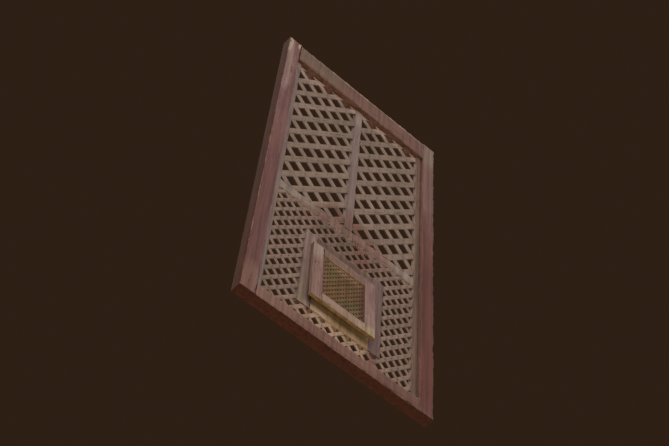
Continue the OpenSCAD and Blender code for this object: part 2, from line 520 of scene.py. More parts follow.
# Node groups that the finishes share
class Sheet:
    """A node tree with short ways to add and wire its nodes."""

    def __init__(self, tree):
        self.tree = tree
        self.column = 0

    def add(self, kind, **values):
        node = self.tree.nodes.new(kind)
        self.column += 1
        node.location = (self.column * 190, (self.column % 4) * -170)
        for name, value in values.items():
            setattr(node, name, value)
        return node

    def put(self, node, index, value):
        if hasattr(value, "is_output"):
            self.tree.links.new(value, node.inputs[index])
        else:
            node.inputs[index].default_value = value

    def group(self, tree, **values):
        """Places a node group; an underscore in a name stands for a space."""
        node = self.add("ShaderNodeGroup", node_tree=tree)
        for name, value in values.items():
            self.put(node, name.replace("_", " "), value)
        return node.outputs

    def attribute(self, name):
        return self.add("ShaderNodeAttribute", attribute_name=name).outputs["Fac"]

    def math(self, operation, a, b=0.0):
        node = self.add("ShaderNodeMath", operation=operation)
        self.put(node, 0, a)
        self.put(node, 1, b)
        return node.outputs[0]

    def times(self, a, b):
        return self.math("MULTIPLY", a, b)

    def vector(self, operation, a, b, output="Vector"):
        node = self.add("ShaderNodeVectorMath", operation=operation)
        self.put(node, 0, a)
        self.put(node, "Scale" if operation == "SCALE" else 1, b)
        return node.outputs[output]

    def combined(self, x=0.0, y=0.0, z=0.0):
        node = self.add("ShaderNodeCombineXYZ")
        for index, value in enumerate((x, y, z)):
            self.put(node, index, value)
        return node.outputs[0]

    def parted(self, vector):
        node = self.add("ShaderNodeSeparateXYZ")
        self.put(node, 0, vector)
        return node.outputs

    def grey(self, value):
        node = self.add("ShaderNodeCombineColor")
        for index in range(3):
            self.put(node, index, value)
        return node.outputs[0]

    def remap(self, value, low, high, to_low=0.0, to_high=1.0, smooth=True):
        node = self.add("ShaderNodeMapRange", interpolation_type="SMOOTHSTEP" if smooth else "LINEAR")
        for index, item in enumerate((value, low, high, to_low, to_high)):
            self.put(node, index, item)
        return node.outputs[0]

    def scaled(self, vector, scale, place=(0, 0, 0), turn=(0, 0, 0)):
        node = self.add("ShaderNodeMapping")
        self.put(node, "Vector", vector)
        self.put(node, "Location", place)
        self.put(node, "Rotation", turn)
        self.put(node, "Scale", scale)
        return node.outputs[0]

    def noise(self, vector, scale, detail=3.0, rough=0.55):
        node = self.add("ShaderNodeTexNoise")
        self.put(node, "Vector", vector)
        self.put(node, "Scale", scale)
        self.put(node, "Detail", detail)
        self.put(node, "Roughness", rough)
        return node.outputs["Fac"]

    def blend(self, factor, a, b, mode="MIX"):
        node = self.add("ShaderNodeMix", data_type="RGBA", blend_type=mode)
        self.put(node, 0, factor)
        for index, colour in ((6, a), (7, b)):
            self.put(node, index, colour if hasattr(colour, "is_output") else (*colour, 1))
        return node.outputs[2]

    def bump(self, height, strength, distance):
        node = self.add("ShaderNodeBump")
        self.put(node, "Height", height)
        self.put(node, "Strength", strength)
        self.put(node, "Distance", distance)
        return node.outputs[0]


def new_group(name, inputs, outputs):
    """A shader node group; inputs are (name, kind, value), and outputs are names of floats."""
    tree = bpy.data.node_groups.new(name, "ShaderNodeTree")
    for label, kind, value in inputs:
        socket = tree.interface.new_socket(name=label, in_out="INPUT", socket_type="NodeSocket" + kind)
        if value is not None:
            socket.default_value = value
    for label in outputs:
        tree.interface.new_socket(name=label, in_out="OUTPUT", socket_type="NodeSocketFloat")
    sheet = Sheet(tree)
    given = sheet.add("NodeGroupInput").outputs
    result = sheet.add("NodeGroupOutput")
    return sheet, given, result


def grain_group():
    """Old wood: fine fibres, broad bands and drying cracks along x of the given space."""
    s, given, result = new_group(
        "timber_grain",
        [("Grain space", "Vector", None), ("Coarseness", "Float", 1.0)],
        ["Fibre", "Band", "Crack", "Height"],
    )
    space = s.vector("SCALE", given["Grain space"], given["Coarseness"])
    wander = s.noise(space, 3.0, 2.0)
    bent = s.vector("ADD", space, s.combined(0.0, s.times(wander, 0.03), s.times(wander, 0.02)))
    fibre = s.noise(s.scaled(bent, (5.0, 260.0, 260.0)), 1.0, 4.0, 0.62)
    band = s.noise(s.scaled(bent, (1.3, 34.0, 34.0)), 1.0, 3.0, 0.5)
    split = s.noise(s.scaled(bent, (2.1, 62.0, 62.0), (3.3, 1.7, 5.1)), 1.0, 1.5, 0.45)
    line = s.remap(s.math("ABSOLUTE", s.math("SUBTRACT", split, 0.5)), 0.0, 0.016, 1.0, 0.0)
    where = s.remap(s.noise(s.scaled(space, (2.0, 9.0, 9.0), (7, 2, 4)), 1.0, 2.0), 0.50, 0.62)
    crack = s.times(line, where)
    height = s.math("SUBTRACT", s.times(fibre, 0.6), s.times(crack, 0.9))
    height = s.math("ADD", height, s.times(band, 0.4))
    for label, value in (("Fibre", fibre), ("Band", band), ("Crack", crack), ("Height", height)):
        s.put(result, label, value)
    return s.tree


def flake_group():
    """Where old paint has gone: ragged patches that follow the fibres, more along the arrises."""
    s, given, result = new_group(
        "paint_loss",
        [("Grain space", "Vector", None), ("Fibre", "Float", 0.5), ("Arris", "Float", 0.0),
         ("Amount", "Float", 0.4)],
        ["Bare"],
    )
    space = given["Grain space"]
    patch = s.noise(s.scaled(space, (5.0, 24.0, 24.0)), 1.0, 5.0, 0.62)
    blots = s.noise(s.scaled(space, (26.0, 70.0, 70.0), (2, 9, 5)), 1.0, 3.0, 0.6)
    mixed = s.math("ADD", s.times(patch, 0.62), s.times(blots, 0.20))
    mixed = s.math("ADD", mixed, s.times(given["Fibre"], 0.18))
    mixed = s.math("ADD", mixed, s.times(s.math("POWER", given["Arris"], 3.0), 0.17))
    limit = s.math("SUBTRACT", 0.74, s.times(given["Amount"], 0.42))
    s.put(result, "Bare", s.remap(mixed, limit, s.math("ADD", limit, 0.035)))
    return s.tree


def run_group():
    """Dirt that rain has drawn downwards, and dust that has settled on ledges."""
    s, given, result = new_group(
        "rain_and_dust",
        [("Place", "Vector", None), ("Normal", "Vector", None)],
        ["Streak", "Mottle", "Dust"],
    )
    place = given["Place"]
    streak = s.noise(s.scaled(place, (46.0, 46.0, 1.6)), 1.0, 3.0, 0.6)
    ledge = s.remap(s.parted(given["Normal"])["Z"], 0.25, 0.85)
    speck = s.remap(s.noise(place, 60.0, 3.0, 0.6), 0.35, 0.65, 0.55, 1.0)
    s.put(result, "Streak", s.remap(streak, 0.36, 0.68))
    s.put(result, "Mottle", s.noise(place, 6.5, 4.0, 0.6))
    s.put(result, "Dust", s.times(ledge, speck))
    return s.tree


def stain_and_light_group():
    """A soft-edged, ragged patch around a place on the screen, for staining and for painted light."""
    s, given, result = new_group(
        "stain_and_light_mark",
        [("Place", "Vector", None), ("Centre", "Vector", (0, 0, 0)), ("Reach", "Vector", (1, 1, 1)),
         ("Ragged", "Float", 0.5)],
        ["Patch"],
    )
    off = s.vector("SUBTRACT", given["Place"], given["Centre"])
    far = s.vector("LENGTH", s.vector("DIVIDE", off, given["Reach"]), (0, 0, 0), "Value")
    torn = s.math("SUBTRACT", s.noise(given["Place"], 11.0, 4.0, 0.6), 0.5)
    edge = s.math("ADD", far, s.times(torn, given["Ragged"]))
    s.put(result, "Patch", s.remap(edge, 0.55, 1.1, 1.0, 0.0))
    return s.tree


GRAIN = grain_group()
FLAKE = flake_group()
RUNS = run_group()
STAIN_AND_LIGHT = stain_and_light_group()

# Colours and shares that all finishes use
# Painted shade: faces that look aside take this dark colour in place of their paint, and it is the default
# for faces that look down
DARK_PAINTED_SHADE = (0.066, 0.016, 0.002)
DUST = (0.42, 0.36, 0.28)
DUST_SHARE = 0.45
NAIL_IRON = (0.055, 0.030, 0.022)
TONE_DEPTH = 7.0
# Timber arrises are paler: partly worn bare wood, partly a painted highlight
RUBBED_AND_HIGHLIGHT_PALER = 1.7
RUBBED_AND_HIGHLIGHT_SHARE = 0.6
# Shares with which the painted light and shade of the side and under colours cover the paint and the bare
# wood
SIDE_ON_TIMBER = (0.95, 0.70)  # on its paint and on its bare wood
SIDE_ON_LATH = (0.15, 0.10)
UNDER_ON_PAINT = 0.92
UNDER_ON_WOOD = 0.75
CRACK_DARK = 0.72
PAINT_ROUGH = 0.82
WOOD_ROUGH = 0.92
FIBRE_SHINE = 0.12


def new_material(name):
    """A material with its sheet and its shader."""
    material = bpy.data.materials.new(name)
    material.use_nodes = True
    return material, Sheet(material.node_tree), material.node_tree.nodes["Principled BSDF"]


def coat(paint, worn, bare, dark):
    """The colours of a painted timber: its paint, worn paint, bare wood and the wood's dark bands."""
    return dict(paint=paint, worn=worn, bare=bare, dark=dark)


def stain_and_light_patch(x, y, height, reach, colour, strength, ragged):
    """A patch of another colour round a place on the screen, its height taken from the bottom edge:
    staining, and in a few places painted light.
    """
    return dict(centre=(x, y, above(height)), reach=reach, colour=colour, strength=strength, ragged=ragged)


def lath_space(s, tone):
    """A lath's own grain map, at another depth in the wood for each lath."""
    grain_map = s.add("ShaderNodeUVMap", uv_map="grain").outputs[0]
    return s.vector("ADD", grain_map, s.combined(z=s.times(tone, TONE_DEPTH)))


def timber_space(s, place, axis):
    """A timber's own space, turned so that its grain runs along x."""
    return s.scaled(place, (1, 1, 1), turn=(0, math.pi / 2 if axis == UP else 0, 0))


def painted(s, place, mottle, colours, stain_and_light_patches):
    """The paint, mottled, with its staining and its patches of painted light."""
    paint = s.blend(s.remap(mottle, 0.35, 0.65), colours["paint"], colours["worn"])
    for spot in stain_and_light_patches:
        patch = s.group(STAIN_AND_LIGHT, Place=place, Centre=spot["centre"], Reach=spot["reach"],
                        Ragged=spot["ragged"])["Patch"]
        paint = s.blend(s.times(patch, spot["strength"]), paint, spot["colour"])
    return paint


def bare_wood(s, band, arris, colours, lath):
    """The wood below the paint, in bands; a timber's arrises are paler, partly worn and partly a painted
    highlight.
    """
    wood = s.blend(s.remap(band, 0.3, 0.7), colours["bare"], colours["dark"])
    if lath:
        return wood
    rubbed_and_highlight = s.times(s.math("POWER", arris, 3.0), RUBBED_AND_HIGHLIGHT_SHARE)
    return s.blend(rubbed_and_highlight, wood, [RUBBED_AND_HIGHLIGHT_PALER * channel for channel in colours["bare"]])


def shading(s, grain, streak, streaks, tone):
    """How much grain, rain, cracks and a lath's own tone lighten or darken the colour."""
    shade = s.remap(grain["Fibre"], 0.25, 0.75, 0.80, 1.16, smooth=False)
    shade = s.times(shade, s.remap(grain["Band"], 0.3, 0.7, 0.90, 1.08, smooth=False))
    shade = s.times(shade, s.math("SUBTRACT", 1.0, s.times(streak, streaks)))
    if tone is not None:
        shade = s.times(shade, s.remap(tone, 0.0, 1.0, 0.90, 1.10, smooth=False))
    return s.times(shade, s.math("SUBTRACT", 1.0, s.times(grain["Crack"], CRACK_DARK)))


def finish(name, axis, colours, loss, stain_and_light_patches=(), streaks=0.35, coarse=1.0, lath=False,
           under=DARK_PAINTED_SHADE, side=DARK_PAINTED_SHADE):
    """Weathered painted wood whose grain runs along an axis, or along each lath; faces that look down and
    aside take the under and side colours, which are painted light and shade.
    """
    material, s, shader = new_material(name)
    place = s.add("ShaderNodeTexCoord").outputs["Object"]
    normal = s.add("ShaderNodeNewGeometry").outputs["Normal"]
    tone = s.attribute("tone") if lath else None
    space = lath_space(s, tone) if lath else timber_space(s, place, axis)
    arris = s.attribute("arris")
    grain = s.group(GRAIN, Grain_space=space, Coarseness=coarse)
    bare = s.group(FLAKE, Grain_space=space, Fibre=grain["Fibre"], Arris=arris, Amount=loss)["Bare"]
    runs = s.group(RUNS, Place=place, Normal=normal)
    paint = painted(s, place, runs["Mottle"], colours, stain_and_light_patches)
    wood = bare_wood(s, grain["Band"], arris, colours, lath)

    # faces that look aside or down take colours of painted shade and painted light of their own
    direction = s.parted(normal)
    turned = s.remap(s.math("ABSOLUTE", direction["X"]), 0.55, 0.9)
    down = s.remap(direction["Z"], -0.35, -0.8)
    side_on_paint, side_on_wood = SIDE_ON_LATH if lath else SIDE_ON_TIMBER
    paint = s.blend(s.times(turned, side_on_paint), paint, side)
    paint = s.blend(s.times(down, UNDER_ON_PAINT), paint, under)
    wood = s.blend(s.times(turned, side_on_wood), wood, side)
    wood = s.blend(s.times(down, UNDER_ON_WOOD), wood, under)
    colour = s.blend(bare, paint, wood)

    # the shade, dust on ledges and the iron of a lattice's nails come over the colour
    shade = shading(s, grain, runs["Streak"], streaks, tone)
    colour = s.blend(1.0, colour, s.grey(shade), "MULTIPLY")
    colour = s.blend(s.times(runs["Dust"], DUST_SHARE), colour, DUST)
    if lath:
        colour = s.blend(s.attribute("iron"), colour, NAIL_IRON)
    s.put(shader, "Base Color", colour)
    rough = s.remap(bare, 0.0, 1.0, PAINT_ROUGH, WOOD_ROUGH, smooth=False)
    s.put(shader, "Roughness", s.math("SUBTRACT", rough, s.times(grain["Fibre"], FIBRE_SHINE)))
    s.put(shader, "Specular IOR Level", 0.28)
    relief = s.math("SUBTRACT", grain["Height"], s.times(bare, 0.35))
    s.put(shader, "Normal", s.bump(relief, 0.55, 0.0012))
    return material


def rusty_iron():
    """Hinge iron with brown rust and the remains of paint."""
    material, s, shader = new_material("rusty_iron")
    place = s.add("ShaderNodeTexCoord").outputs["Object"]
    pits = s.noise(place, 190.0, 5.0, 0.65)
    patch = s.noise(place, 46.0, 4.0, 0.6)
    rust = s.blend(s.remap(pits, 0.35, 0.65), (0.060, 0.026, 0.014), (0.130, 0.058, 0.030))
    s.put(shader, "Base Color", s.blend(s.remap(patch, 0.46, 0.56), rust, (0.085, 0.060, 0.055)))
    s.put(shader, "Roughness", s.remap(pits, 0.3, 0.7, 0.62, 0.9))
    s.put(shader, "Metallic", s.remap(patch, 0.50, 0.60, 0.0, 0.35))
    s.put(shader, "Normal", s.bump(pits, 0.6, 0.0006))
    return material


# In the finishes below, the under and side colours are painted light and shade on faces that look down and
# aside
# Finishes of the outer frame
LIME_SMEAR = (0.42, 0.31, 0.22)
# Faces that look down take these colours in place of their paint: SILL_UNDER is dark bare wood with painted
# shade; HEAD_UNDER, lighter than the paint, is painted light
HEAD_UNDER = (0.186, 0.086, 0.052)
SILL_UNDER = (0.080, 0.016, 0.001)
left_stile_finish = finish(
    "left_stile_mauve_paint", UP,
    coat(paint=(0.128, 0.051, 0.048), worn=(0.150, 0.063, 0.056),
         bare=(0.146, 0.087, 0.066), dark=(0.091, 0.046, 0.034)),
    loss=0.30, under=SILL_UNDER,
    stain_and_light_patches=[
        stain_and_light_patch(-0.60, FRAME_FACE, 0.62, (0.14, 0.10, 0.95), (0.118, 0.043, 0.038), 0.8, 0.5),
        stain_and_light_patch(-0.625, FRAME_FACE, 2.33, (0.050, 0.06, 0.42), (0.240, 0.134, 0.116), 0.85, 0.5),
        stain_and_light_patch(-0.60, FRAME_FACE, 0.10, (0.10, 0.1, 0.14), (0.170, 0.083, 0.062), 0.8, 0.6),
        stain_and_light_patch(-0.64, FRAME_FACE, 2.60, (0.025, 0.05, 0.16), LIME_SMEAR, 0.7, 0.8),
        stain_and_light_patch(-0.555, FRAME_FACE, 2.62, (0.022, 0.05, 0.045), (0.52, 0.36, 0.30), 0.85, 0.5),
    ])
right_stile_finish = finish(
    "right_stile_mauve_paint", UP,
    coat(paint=(0.112, 0.038, 0.032), worn=(0.130, 0.049, 0.041),
         bare=(0.125, 0.063, 0.046), dark=(0.080, 0.034, 0.024)),
    loss=0.26, under=SILL_UNDER, side=(0.215, 0.105, 0.086),
    stain_and_light_patches=[
        stain_and_light_patch(0.60, FRAME_FACE, 0.70, (0.14, 0.10, 0.85), (0.104, 0.029, 0.020), 0.85, 0.5),
        stain_and_light_patch(0.59, FRAME_FACE, 2.15, (0.12, 0.1, 0.42), (0.160, 0.082, 0.069), 0.8, 0.6),
        stain_and_light_patch(0.59, FRAME_FACE, 2.56, (0.12, 0.1, 0.20), (0.178, 0.118, 0.090), 0.85, 0.5),
    ])
head_finish = finish(
    "head_rail_brown_paint", RIGHT,
    coat(paint=(0.122, 0.054, 0.040), worn=(0.142, 0.065, 0.048),
         bare=(0.146, 0.090, 0.062), dark=(0.086, 0.046, 0.030)),
    loss=0.30, under=HEAD_UNDER,
    stain_and_light_patches=[
        stain_and_light_patch(-0.42, FRAME_FACE, 2.58, (0.30, 0.2, 0.20), (0.132, 0.078, 0.053), 0.9, 0.7),
        stain_and_light_patch(0.10, FRAME_FACE, 2.648, (0.60, 0.2, 0.020), LIME_SMEAR, 0.6, 0.9),
    ])
sill_finish = finish(
    "sill_rail_mauve_paint", RIGHT,
    coat(paint=(0.147, 0.066, 0.048), worn=(0.164, 0.077, 0.057),
         bare=(0.168, 0.098, 0.068), dark=(0.104, 0.053, 0.035)),
    loss=0.28, under=SILL_UNDER,
    stain_and_light_patches=[
        stain_and_light_patch(-0.48, FRAME_FACE, 0.05, (0.24, 0.2, 0.09), (0.195, 0.100, 0.075), 0.75, 0.6),
        stain_and_light_patch(0.42, FRAME_FACE, 0.05, (0.24, 0.2, 0.09), (0.128, 0.056, 0.043), 0.8, 0.6),
    ])

# Finishes of the dividers
GREY_COAT = coat(paint=(0.152, 0.099, 0.087), worn=(0.174, 0.115, 0.099),
                 bare=(0.180, 0.127, 0.098), dark=(0.117, 0.075, 0.058))
OLIVE_COAT = coat(paint=(0.118, 0.066, 0.046), worn=(0.134, 0.077, 0.054),
                  bare=(0.134, 0.085, 0.059), dark=(0.085, 0.051, 0.034))
RED_PATCH = stain_and_light_patch(0.02, LATH_FACE, 1.02, (0.42, 0.2, 0.20), (0.160, 0.074, 0.056), 0.85, 0.9)
mullion_finish = finish(
    "mullion_grey_paint", UP, GREY_COAT, loss=0.30, under=HEAD_UNDER, side=(0.300, 0.200, 0.175),
    stain_and_light_patches=[
        stain_and_light_patch(0.0, BOARD_FACE, 2.42, (0.05, 0.1, 0.14), (0.225, 0.160, 0.122), 0.8, 0.5),
        stain_and_light_patch(0.0, BOARD_FACE, 1.18, (0.09, 0.1, 0.16), (0.140, 0.068, 0.052), 0.8, 0.6),
    ])
# The mid rail's underside colour, lighter than its paint, is painted light
mid_rail_finish = finish(
    "mid_rail_taupe_paint", RIGHT,
    coat(paint=(0.200, 0.144, 0.115), worn=(0.227, 0.164, 0.129),
         bare=(0.211, 0.166, 0.130), dark=(0.135, 0.097, 0.076)),
    loss=0.30, under=(0.400, 0.270, 0.215), stain_and_light_patches=[RED_PATCH])
left_strip_finish = finish("left_strip_grey_paint", UP, GREY_COAT, loss=0.34, under=HEAD_UNDER)
right_strip_finish = finish("right_strip_olive_paint", UP, OLIVE_COAT, loss=0.34, under=HEAD_UNDER,
                            side=(0.310, 0.210, 0.165))

# Finishes of the lattices
# Painted shade: the laths' undersides take this dark colour
LATH_UNDER = (0.066, 0.031, 0.018)
coarse_finish = finish(
    "coarse_lath_taupe", RIGHT,
    coat(paint=(0.166, 0.110, 0.081), worn=(0.188, 0.126, 0.093),
         bare=(0.175, 0.124, 0.093), dark=(0.114, 0.078, 0.058)),
    loss=0.30, streaks=0.22, lath=True, under=LATH_UNDER,
    stain_and_light_patches=[
        RED_PATCH,
        # painted light: a pale band along the top, where the head rail's shadow falls
        stain_and_light_patch(0.0, LATH_FACE, 2.45, (1.2, 0.1, 0.048), (0.320, 0.208, 0.156), 0.85, 0.3),
        stain_and_light_patch(-0.48, LATH_FACE, 2.40, (0.10, 0.1, 0.07), (0.30, 0.19, 0.16), 0.7, 0.7),
        stain_and_light_patch(0.0, LATH_FACE, 1.19, (0.19, 0.1, 0.12), (0.136, 0.058, 0.038), 0.9, 0.6),
    ])
fine_finish = finish(
    "fine_lath_taupe", RIGHT,
    coat(paint=(0.170, 0.107, 0.078), worn=(0.196, 0.125, 0.091),
         bare=(0.178, 0.121, 0.088), dark=(0.114, 0.076, 0.054)),
    loss=0.30, streaks=0.22, coarse=1.5, lath=True, under=LATH_UNDER,
    stain_and_light_patches=[
        RED_PATCH,
        stain_and_light_patch(0.0, LATH_FACE, 0.96, (0.30, 0.1, 0.13), (0.128, 0.080, 0.057), 0.75, 0.6),
        stain_and_light_patch(0.0, LATH_FACE, 0.17, (0.32, 0.1, 0.09), (0.362, 0.218, 0.134), 0.85, 0.7),
        stain_and_light_patch(-0.42, LATH_FACE, 0.10, (0.16, 0.1, 0.08), (0.160, 0.080, 0.062), 0.7, 0.6),
        stain_and_light_patch(0.112, LATH_FACE, 0.95, (0.075, 0.1, 0.15), (0.150, 0.060, 0.041), 0.9, 0.5),
        stain_and_light_patch(0.235, LATH_FACE, 0.13, (0.065, 0.1, 0.11), (0.165, 0.070, 0.058), 0.9, 0.5),
    ])

# Finishes of the hatch surround
# The left post's paint is lighter than the right post's, as painted light against the leaf's shadow on it
left_post_paint_and_light_finish = finish(
    "left_post_mauve_and_painted_light", UP,
    coat(paint=(0.182, 0.110, 0.094), worn=(0.206, 0.127, 0.109),
         bare=(0.200, 0.140, 0.112), dark=(0.130, 0.084, 0.068)),
    loss=0.26, under=HEAD_UNDER, side=(0.200, 0.125, 0.105),
    stain_and_light_patches=[
        stain_and_light_patch(-0.25, HATCH_FACE, 0.28, (0.10, 0.1, 0.14), (0.215, 0.155, 0.102), 0.8, 0.7),
        # painted light: a pale strip beside the leaf, where its shadow falls
        stain_and_light_patch(-0.225, HATCH_FACE, 0.50, (0.024, 0.1, 0.36), (0.300, 0.195, 0.160), 0.8, 0.2),
    ])
right_post_finish = finish(
    "right_post_mauve", UP,
    coat(paint=(0.131, 0.073, 0.065), worn=(0.150, 0.085, 0.076),
         bare=(0.152, 0.096, 0.080), dark=(0.098, 0.057, 0.047)),
    loss=0.26, under=HEAD_UNDER)
hatch_head_finish = finish(
    "surround_head_brown", RIGHT,
    coat(paint=(0.106, 0.057, 0.041), worn=(0.124, 0.068, 0.049),
         bare=(0.132, 0.080, 0.058), dark=(0.075, 0.042, 0.030)),
    loss=0.30, under=HEAD_UNDER, stain_and_light_patches=[RED_PATCH])
# The hatch sill's underside colour, lighter than its paint, is painted light
hatch_sill_finish = finish(
    "surround_sill_olive", RIGHT,
    coat(paint=(0.275, 0.168, 0.080), worn=(0.350, 0.225, 0.118),
         bare=(0.285, 0.184, 0.100), dark=(0.145, 0.080, 0.030)),
    loss=0.30, under=(0.360, 0.240, 0.130),
    stain_and_light_patches=[
        stain_and_light_patch(-0.16, HATCH_FACE, 0.225, (0.10, 0.2, 0.050), (0.430, 0.300, 0.180), 0.8, 0.5),
        # painted light: a pale band along the sill's top, where the leaf's shadow falls
        stain_and_light_patch(0.0, HATCH_FACE, 0.316, (0.9, 0.020, 0.040), (0.560, 0.380, 0.190), 0.95, 0.2),
        stain_and_light_patch(0.0, HATCH_BACK, 0.28, (1.2, 0.032, 0.5), (0.124, 0.070, 0.050), 0.95, 0.1),
    ])

# Finishes of the hatch leaf
LEAF_COAT = coat(paint=(0.216, 0.119, 0.100), worn=(0.246, 0.140, 0.117),
                 bare=(0.221, 0.144, 0.111), dark=(0.132, 0.074, 0.055))
# The leaf's undersides take this olive colour: partly their own staining, partly painted light
OLIVE_UNDER = (0.340, 0.215, 0.085)
leaf_stile_finish = finish(
    "leaf_stile_pink_paint", UP, LEAF_COAT, loss=0.22, under=OLIVE_UNDER, side=(0.260, 0.165, 0.125),
    stain_and_light_patches=[
        stain_and_light_patch(0.20, HATCH_FACE, 0.30, (0.075, 0.3, 0.060), (0.330, 0.230, 0.120), 0.9, 0.6),
        stain_and_light_patch(-0.22, HATCH_FACE, 0.72, (0.06, 0.3, 0.09), (0.270, 0.185, 0.140), 0.8, 0.6),
        stain_and_light_patch(-0.20, HATCH_FACE, 0.44, (0.06, 0.3, 0.22), (0.180, 0.096, 0.078), 0.9, 0.5),
        stain_and_light_patch(0.20, HATCH_FACE, 0.60, (0.06, 0.3, 0.12), (0.172, 0.088, 0.078), 0.9, 0.5),
    ])
leaf_rail_finish = finish(
    "leaf_rail_pink_paint", RIGHT, LEAF_COAT, loss=0.24, under=OLIVE_UNDER,
    stain_and_light_patches=[
        stain_and_light_patch(0.0, HATCH_FACE, 0.72, (0.28, 0.3, 0.09), (0.152, 0.084, 0.056), 0.8, 0.6),
        stain_and_light_patch(-0.04, HATCH_FACE, 0.31, (0.30, 0.3, 0.10), (0.275, 0.170, 0.116), 0.9, 0.5),
        stain_and_light_patch(0.16, HATCH_FACE, 0.30, (0.09, 0.3, 0.05), (0.360, 0.255, 0.140), 0.8, 0.6),
    ])
infill_finish = finish(
    "infill_lath_olive", RIGHT,
    coat(paint=(0.128, 0.061, 0.022), worn=(0.108, 0.060, 0.019),
         bare=(0.151, 0.075, 0.032), dark=(0.079, 0.038, 0.015)),
    loss=0.30, streaks=0.25, coarse=2.0, lath=True, under=(0.040, 0.020, 0.007),
    stain_and_light_patches=[
        stain_and_light_patch(-0.10, HATCH_FACE, 0.60, (0.05, 0.2, 0.14), (0.095, 0.075, 0.020), 0.8, 0.7),
        stain_and_light_patch(0.04, HATCH_FACE, 0.40, (0.09, 0.2, 0.07), (0.105, 0.077, 0.028), 0.8, 0.7),
        stain_and_light_patch(-0.02, HATCH_FACE, 0.66, (0.14, 0.2, 0.04), (0.190, 0.105, 0.055), 0.8, 0.7),
        stain_and_light_patch(-0.16, HATCH_FACE, 0.54, (0.028, 0.2, 0.20), (0.150, 0.066, 0.044), 0.8, 0.3),
        # darker along the infill's right edge
        stain_and_light_patch(0.125, HATCH_FACE, 0.48, (0.036, 0.2, 0.24), (0.075, 0.024, 0.013), 0.9, 0.3),
    ])
hinge_finish = rusty_iron()


# Making the pieces
def plank(node, axis, wear, material, seed, name=None, rise=0.0):
    """The worn timber that stands for a node, at its size and place, and with its name if none is given."""
    low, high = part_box(node)
    high.z += rise
    dress(timber(f"weathered_{name or node}", low, high, axis, wear, seed), node, material)


def outer_frame():
    """The stiles, which run the whole height, and the rails between them."""
    plank("left_stile", UP, STILE_WEAR, left_stile_finish, seed=3)
    plank("right_stile", UP, STILE_WEAR, right_stile_finish, seed=11)
    plank("head_rail", RIGHT, RAIL_WEAR, head_finish, seed=19)
    plank("sill_rail", RIGHT, RAIL_WEAR, sill_finish, seed=27)


def dividers():
    """The mullion, the mid rail and the narrow strips beside the stiles."""
    plank("centre_mullion", UP, BOARD_WEAR, mullion_finish, seed=31, name="mullion")
    plank("mid_rail", RIGHT, MID_WEAR, mid_rail_finish, seed=37)
    for side, seed, material in (("left", 43, left_strip_finish), ("right", 49, right_strip_finish)):
        for part in ("upper", "lower"):
            plank(f"{part}_{side}_strip", UP, STRIP_WEAR, material, seed)


def upper_lattices():
    """The two coarse panels, each laid out from a hole in its middle column."""
    for side, seed in (("left", 100), ("right", 102)):
        node = f"upper_{side}_lattice"
        low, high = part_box(node)
        hole = ((low.x + high.x) / 2, above(COARSE_HOLE_HEIGHT))
        panel = lattice(f"nailed_{node}", low, high, hole, COARSE, seed)
        dress(panel, node, coarse_finish, SMOOTH_LATH)


def lower_lattices():
    """The four fine panels round the hatch, all laid out from the same hole."""
    hole = (FINE_HOLE_X, above(FINE_HOLE_HEIGHT))
    for side, seed in (("left", 111), ("right", 113), ("top", 117), ("foot", 119)):
        node = f"lower_{side}_lattice"
        low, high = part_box(node)
        panel = lattice(f"nailed_{node}", low, high, hole, FINE, seed)
        dress(panel, node, fine_finish, SMOOTH_LATH)


def surround():
    """The boards round the hatch."""
    for side, seed, material in (("left", 50, left_post_paint_and_light_finish), ("right", 52, right_post_finish)):
        name = f"{side}_post"
        plank(f"surround_{name}", UP, BOARD_WEAR, material, seed, name)
    plank("surround_head", RIGHT, BOARD_WEAR, hatch_head_finish,
          seed=57, name="hatch_head")
    plank("surround_sill", RIGHT, HATCH_SILL_WEAR, hatch_sill_finish,
          seed=59, name="hatch_sill", rise=HATCH_SILL_RISE)


def hang(piece):
    """Turns a piece of the leaf about the leaf's top edge and sets it in its place."""
    only(piece)
    piece.rotation_euler = (-LEAF_AJAR, 0, 0)
    piece.location = (LEAF_X, HATCH_FACE - LEAF_GAP, above(LEAF_TOP))
    settle()
    return piece


def leaf():
    """The hatch leaf: stiles, rails and a very fine lattice, made upright and then hung."""
    inner = LEAF_HALF - LEAF_STILE
    for side, name, seed in ((-1, "left", 60), (1, "right", 62)):
        start, end = sorted((side * LEAF_HALF, side * inner))
        stile = timber(f"weathered_leaf_{name}_stile", (start, -LEAF_THICK, -LEAF_HEIGHT), (end, 0, 0),
                       UP, LEAF_WEAR, seed, LEAF_CUT)
        dress(hang(stile), f"leaf_{name}_stile", leaf_stile_finish)
    for name, foot, seed in (("top", -LEAF_RAIL, 70), ("bottom", -LEAF_HEIGHT, 73)):
        rail = timber(f"weathered_leaf_{name}_rail", (-inner, -LEAF_THICK, foot),
                      (inner, 0, foot + LEAF_RAIL), RIGHT, LEAF_WEAR, seed, LEAF_CUT)
        dress(hang(rail), f"leaf_{name}_rail", leaf_rail_finish)
    low = Vector((-inner, INFILL_SET_BACK - LEAF_THICK, LEAF_RAIL - LEAF_HEIGHT))
    high = Vector((inner, 0, -LEAF_RAIL))
    hole = (0, -LEAF_HEIGHT / 2)
    infill = lattice("leaf_infill_lattice", low, high, hole, INFILL, seed=131, nails=False)
    dress(hang(infill), "leaf_lattice", infill_finish, SMOOTH_LATH)


